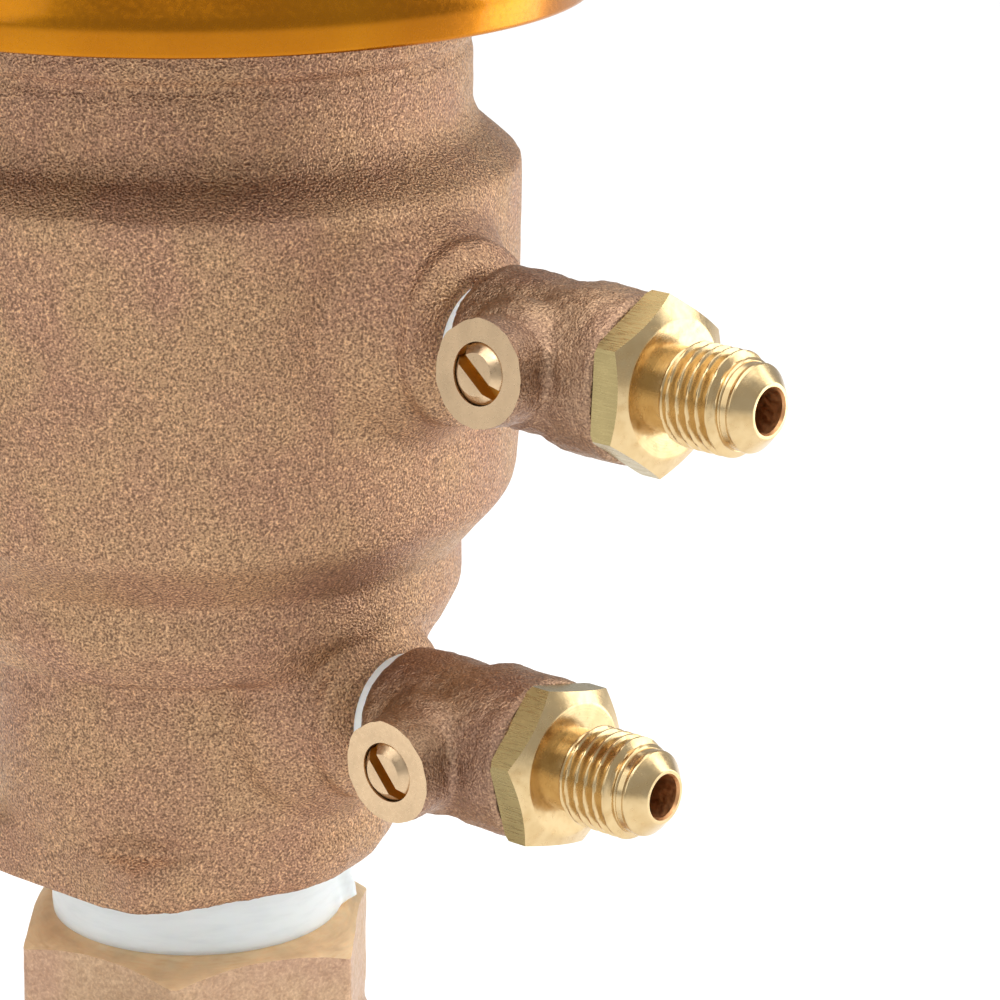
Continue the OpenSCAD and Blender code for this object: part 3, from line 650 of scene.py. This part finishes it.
def mouth_cutter(at, outward):
    """What a lathe takes off a hexagonal end: all beyond the face, and a 30 degree cone at the corners."""
    flip = [(0, 0), (17.85, 0), (24.2, -3.67), (24.2, 4), (0, 4)]
    return turned([(r, at + outward * h) for r, h in flip], 96)


def ball_valve(end, place, hex_turn, set_body):
    """One shutoff valve with its outer end at the origin, flow along Z and stem towards -Y."""
    cast = piece_of(end + "_valve_casting", [
        turned(rounded([(0, 18, 0), (23, 18, 0.8), (25, 20, 1), (25, 58.6, 2), (19.05, 67.8, 2),
                        (19.05, 70, 0), (0, 70, 0)]), 112),
        placed(hexagon(38.1, 66.1, valve_len + 1), Matrix.Rotation(math.radians(hex_turn), 4, "Z")),
        placed(turned(rounded([(0, 0, 0), (12.5, 22, 2), (10.4, 25.5, 3), (10, 31, 0.6), (0, 31, 0)]), 64),
               TO_FRONT, shift(z=valve_mid))], valve_bronze)
    cast_skin(cast, 0.6)
    worked(cast, lambda bm: (smoothed(bm, 1), roughened(bm, [(7, 0.14), (2.2, 0.05)])))
    front = TO_FRONT
    machine(cast, [
        mouth_cutter(valve_len, 1),
        threaded_rod(16.2, 16.9, 2.209, valve_len - 17, valve_len + 1),
        turned([(0, 60), (12.7, 60), (12.7, 64.6), (0, 64.6)]),
        turned([(0, 17), (21.5, 17), (21.5, 25), (19, 25), (19, 58.6), (12.7, 58.6), (12.7, 61), (0, 61)]),
        placed(turned([(0, 16), (4.6, 16), (6.8, 18), (6.8, 21.1), (4.6, 21.1), (4.6, 25), (7.45, 25),
                       (7.45, 33), (0, 33)]), front, shift(z=valve_mid))], mouth_brass)

    inner = piece_of(end + "_valve_end_piece", [
        hexagon(38.1, -1, 13.5),
        turned(rounded([(0, 9.5, 0), (19.05, 10.5, 0.5), (23, 15, 1), (23, 17.95, 0.4), (0, 17.95, 0)]),
               112)],
        valve_bronze)
    cast_skin(inner, 0.6)
    worked(inner, lambda bm: (smoothed(bm, 1), roughened(bm, [(7, 0.12), (2.2, 0.05)])))
    machine(inner, [turned([(0, 17), (21.45, 17), (21.45, 24.95), (0, 24.95)])], mouth_brass, "UNION")
    machine(inner, [mouth_cutter(0, -1), threaded_rod(15.2, 16.3, 2.209, -1, 17.5),
                    turned([(0, 17), (12.7, 17), (12.7, 26), (0, 26)])], mouth_brass)

    packing = piece_of(end + "_packing_nut", [hexagon(17.5, 31, 35.4)], nut_brass)
    machine(packing, [turned(rounded([(0, 30, 0), (9.4, 30, 0), (10.2, 31.4, 0.3), (10.2, 34.4, 0.3),
                                      (8.9, 35.4, 0.3), (0, 35.4, 0)]), 64)], nut_brass, "INTERSECT")
    machine(packing, [turned([(0, 29), (7.4, 29), (7.4, 32), (0, 32)], 64)], nut_brass, "UNION")
    machine(packing, [turned([(0, 28), (4.6, 28), (4.6, 37), (0, 37)], 64)], nut_brass)

    handle = piece_of(end + "_tee_handle", [turned([(0, 36), (9, 36), (9, 41), (0, 41)], 64)], zinc)
    machine(handle, [box_of((-4.5, -24.5, 36), (4.5, 24.5, 41))] + [
        placed(turned([(0, 36), (4.5, 36), (4.5, 41), (0, 41)], 48), shift(0, s * 24.5)) for s in (-1, 1)],
        zinc, "UNION")
    machine(handle, [box_of((-3.4, -2.95, 34), (3.4, 2.95, 43))], zinc)
    edge = handle.modifiers.new("edge", "BEVEL")
    edge.limit_method = "ANGLE"
    edge.width, edge.segments = 0.8 * MM, 3
    apply_modifiers(handle)

    nut = piece_of(end + "_handle_lock_nut", [hexagon(12.7, 41, 45.5)], steel)
    machine(nut, [turned(rounded([(0, 41, 0), (6.6, 41, 0), (7.4, 41.6, 0.2), (7.4, 44.4, 0.2),
                                  (6.1, 45.5, 0.2), (0, 45.5, 0)]), 64)], steel, "INTERSECT")
    machine(nut, [threaded_rod(4.15, 4.5, 1.25, 40, 47, 48)], steel)

    for obj in (packing, handle, nut):
        worked(obj, lambda bm: placed(bm, front, shift(z=valve_mid)))
    stands_for = {cast: "body", inner: "end", packing: "packing_nut", handle: "handle", nut: "handle_nut"}
    for obj, node in stands_for.items():
        worked(obj, lambda bm: placed(bm, place))
        shade(obj, 40)
        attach(obj, set_body if obj in (handle, nut) else BASE)
        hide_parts(end + "_valve_" + node)
    finish_nodes(chrome, end + "_valve_ball")
    finish_nodes(steel, end + "_valve_stem")


ball_valve("inlet", Matrix.Identity(4), 8, "inlet_valve_handle_set")
ball_valve("outlet", outlet_valve_place, 0, "outlet_valve_handle_set")


# ---- Test cocks ----
# Small bronze castings screwed into the two bosses with tape. A brass stem with
# a slot turns the ball inside, and a brass flare adapter closes the outer end.

barrel_r, collar_r, stem_x, stem_face = 8.3, 9.1, 10.8, 13.1
adapter_x, adapter_hex_t, thread_x, tip_x = 22.3, 4.1, 28.5, 38.6


def cock_casting(end, place, finish, root_lift):
    cast = piece_of(end + "_cock_casting", [
        placed(turned(rounded([(0, -9, 0), (6.7, -9, 0.3), (6.7, 1.3, 0.2), (7.4, 1.5, 0.3),
                               (barrel_r, 2.9, 1.2), (barrel_r, 11.8, 3), (collar_r, 14.6, 2),
                               (collar_r, 21.6, 0.3), (8.7, 22.3, 0.2), (0, 22.3, 0)]), 96), TO_X),
        placed(turned(rounded([(0, 0, 0), (7.4, 6, 1), (5.9, 8.6, 2), (5.75, 14, 0), (0, 14, 0)]), 64),
               TO_FRONT, shift(stem_x))], finish)
    cast_skin(cast, 0.3)

    def blended(bm):
        def near_root(co):
            away = math.hypot(co.x - stem_x * MM, co.z) / MM
            return away < 9.5 and -11 < co.y / MM < -3.5
        smoothed(bm, 1)
        smoothed(bm, 16, near_root)
        roughened(bm, [(3.4, 0.22), (1.1, 0.10), (0.5, 0.03)])
        for v in bm.verts:
            along = v.co.x / MM
            if along > 0 and v.co.y / MM > -9:
                v.co.z += root_lift * MM * max(1 - along / adapter_x, 0) * min(along / 2, 1)

    worked(cast, blended)
    machine(cast, [
        box_of((0, -16, -8), (22, -stem_face, 8)),
        placed(turned([(0, -11), (3, -11), (3, 4), (6.1, 4), (6.1, 30), (0, 30)], 64), TO_X),
        placed(turned([(0, 0), (3.35, 0), (3.35, 15), (0, 15)], 64), TO_FRONT, shift(stem_x))], ring_brass)
    worked(cast, lambda bm: placed(bm, place))
    return cast


def flare_adapter(end, place, hex_turn, finish, flats):
    # The hexagon's flats take the darker flats brass, a painted dark reflection.
    adapter = piece_of(end + "_flare_adapter", [
        placed(hexagon(17, adapter_x, adapter_x + adapter_hex_t),
               Matrix.Rotation(math.radians(hex_turn), 4, "Z"))], flats)
    machine(adapter, [turned(rounded([(0, 22.3, 0), (9.5, 22.3, 0), (9.9, 22.7, 0), (9.9, 24.9, 0.2),
                                      (7.4, 26.2, 1), (0, 26.4, 0)]), 96)], finish, "INTERSECT")
    machine(adapter, [
        turned(rounded([(0, 17.6, 0), (6.07, 17.6, 0.2), (6.07, 23, 0), (4.35, 23, 0), (4.35, 25.9, 0.1),
                        (4.6, 26.1, 0.1), (4.6, 29, 0), (0, 29, 0)]), 80),
        threaded_rod(4.72, 5.56, 1.27, thread_x - 0.6, thread_x + 7.2, 80, 0.9),
        turned(rounded([(0, 35, 0), (4.72, 35, 0), (4.6, 36.4, 0.3), (4.75, 36.9, 0.4), (2.95, tip_x, 0.25),
                        (0, tip_x, 0)]), 80)], finish, "UNION")
    machine(adapter, [turned(rounded([(0, 16, 0), (2.4, 16, 0), (2.4, tip_x - 0.35, 0.1),
                                      (2.75, tip_x + 0.4, 0), (0, tip_x + 0.4, 0)]), 64)], bore_dark)
    worked(adapter, lambda bm: placed(bm, TO_X, place))
    return adapter


def slotted_stem(end, place, slot_turn, finish):
    stem = piece_of(end + "_slotted_stem", [
        turned(rounded([(0, 5.8, 0), (3.25, 5.8, 0.1), (3.25, 7.8, 0), (2.4, 7.8, 0), (2.4, 9.0, 0),
                        (3.25, 9.0, 0), (3.25, 12.75, 0.05), (2.25, 13.75, 0.05), (0, 13.75, 0)]), 80)],
                        finish)
    machine(stem, [box_of((-2.8, -0.7, 4.4), (2.8, 0.7, 6.4))], finish, "UNION")
    # The slot's walls take a darker, deeper orange brass than the stem: painted shade inside the slot.
    machine(stem, [box_of((-4, -0.7, 11.95), (4, 0.7, 15))], slot_shade_brass)
    worked(stem, lambda bm: placed(bm, TO_FRONT, Matrix.Rotation(math.radians(-slot_turn), 4, "Y"),
                                   shift(stem_x), place))
    return stem


def cock_tape(end, place):
    rows = [0.1 + 1.5 * k / 12 for k in range(13)]
    bm = turned([(6.97, h) for h in rows] + [(6.72, h) for h in reversed(rows)], 96, closed=True)
    for v in bm.verts:
        out = Vector((v.co.x, v.co.y, 0)).normalized()
        v.co += out * MM * 0.03 * noise.noise(v.co * 900)
    return piece_of(end + "_cock_tape_wrap", [placed(bm, TO_X, place)], tape)


cock_bronze = cast_bronze("cock_bronze", (0.36, 0.215, 0.145), (0.42, 0.27, 0.165), 0.26)
# The slot's brass is darker and more orange than the stem's own brass: painted shade for the slot's walls.
slot_shade_brass = cut_brass("slot_shade_brass", (0.62, 0.34, 0.07), (1, 1, 1), 0.42)
bore_dark = cut_brass("flare_bore_brass", (0.80, 0.46, 0.22), (1, 1, 1), 0.4)

for end, boss_x, h, tilt, slot_turn, hex_turn in (
        ("upper", upper_boss_x, upper_h, -6, -37, 3), ("lower", lower_boss_x, lower_h, 2.6, -51, 15)):
    place = shift(boss_x, 0, casting_z + h) @ Matrix.Rotation(math.radians(tilt), 4, "X")
    middle = (boss_x, 0, casting_z + h)
    ring_brass = cut_brass(end + "_ring_brass", (0.68, 0.49, 0.30), (1.2, 1, 1.2), 0.3, 0.005)
    lathe_brass = turned_brass(end + "_flare_brass", (0.66, 0.49, 0.26), 0.22, "X", middle)
    # The hexagon's flats get a darker, olive brass than the turned cone beside them: painted dark
    # reflection on top of real milling marks.
    milled_dark_reflection = cut_brass(end + "_hex_brass", (0.47, 0.37, 0.17), (0.25, 3, 3), 0.27, 0.012)
    cast = cock_casting(end, place, cock_bronze, upper_root_lift if end == "upper" else 0)
    adapter = flare_adapter(end, place, hex_turn, lathe_brass, milled_dark_reflection)
    stem = slotted_stem(end, place, slot_turn, ring_brass)
    wrap = cock_tape(end, place)
    for obj, node, slot in ((cast, "body", "cast_bronze"), (adapter, "adapter", "machined_brass"),
                            (stem, "stem", "machined_brass"), (wrap, "tape", "thread_tape")):
        shade(obj, 32)
        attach(obj, end + "_cock_stem_set" if obj is stem else BASE)
        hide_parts(end + "_cock_" + node)
    finish_nodes(chrome, end + "_cock_ball")


# ---- Stage ----
# A pale floor and soft studio light from above and from both sides, with a small
# light in front, seen through a long lens.

floor_mesh = bpy.data.meshes.new("floor")
floor_bm = bmesh.new()
bmesh.ops.create_grid(floor_bm, x_segments=1, y_segments=1, size=6)
floor_bm.to_mesh(floor_mesh)
floor = bpy.data.objects.new("floor", floor_mesh)
bpy.context.collection.objects.link(floor)
pale = bpy.data.materials.new("pale_floor")
pale.use_nodes = True
pale.node_tree.nodes["Principled BSDF"].inputs["Base Color"].default_value = (0.95, 0.95, 0.95, 1)
pale.node_tree.nodes["Principled BSDF"].inputs["Roughness"].default_value = 0.9
floor_mesh.materials.append(pale)

world = bpy.data.worlds.new("studio")
bpy.context.scene.world = world
world.use_nodes = True
world.node_tree.nodes["Background"].inputs["Color"].default_value = (1, 1, 1, 1)
world.node_tree.nodes["Background"].inputs["Strength"].default_value = 0.5
bpy.context.scene.view_settings.view_transform = "Standard"


def softbox(name, place, aim, width, height, power):
    data = bpy.data.lights.new(name, "AREA")
    data.shape = "RECTANGLE"
    data.size, data.size_y = width, height
    data.energy = power
    light = bpy.data.objects.new(name, data)
    bpy.context.collection.objects.link(light)
    light.location = place
    light.rotation_euler = (Vector(aim) - Vector(place)).to_track_quat("-Z", "Y").to_euler()
    return light


view_azimuth, view_tilt, view_roll = math.radians(40.88), math.radians(16.94), math.radians(0.47)
view_distance, view_side, view_height = 0.49945, 0.035206, 0.130
lens_mm = 157.32
back = Vector((math.sin(view_azimuth) * math.cos(view_tilt), -math.cos(view_azimuth) * math.cos(view_tilt),
               math.sin(view_tilt)))
right = Vector((math.cos(view_azimuth), math.sin(view_azimuth), 0))
up = back.cross(right)
body_middle = Vector((0, 0, 0.150))
softbox("top_box", (0, 0, 2.2), (0, 0, 0), 3, 3, 54)
softbox("right_box", body_middle + right * 0.5 - back * 0.12 + Vector((0, 0, 0.1)), body_middle, 0.25, 0.7,
        1.6)
front = Vector((math.sin(view_azimuth), -math.cos(view_azimuth), 0))
softbox("front_box", body_middle + front * 0.32 + Vector((0, 0, 0.55)), body_middle, 0.09, 0.16, 0.35)
softbox("left_box", body_middle - right * 0.55 + back * 0.35 + Vector((0, 0, 0.25)), body_middle, 0.5, 0.6,
        0.9)

camera_data = bpy.data.cameras.new("camera")
camera_data.sensor_width = 36
camera_data.lens = lens_mm
camera_data.clip_start, camera_data.clip_end = 0.01, 50
camera = bpy.data.objects.new("camera", camera_data)
bpy.context.collection.objects.link(camera)
tilted_right = right * math.cos(view_roll) + up * math.sin(view_roll)
tilted_up = up * math.cos(view_roll) - right * math.sin(view_roll)
camera.matrix_world = Matrix((
    (tilted_right.x, tilted_up.x, back.x, 0), (tilted_right.y, tilted_up.y, back.y, 0),
    (tilted_right.z, tilted_up.z, back.z, 0), (0, 0, 0, 1)))
camera.location = back * view_distance + right * view_side + Vector((0, 0, view_height))
bpy.context.scene.camera = camera
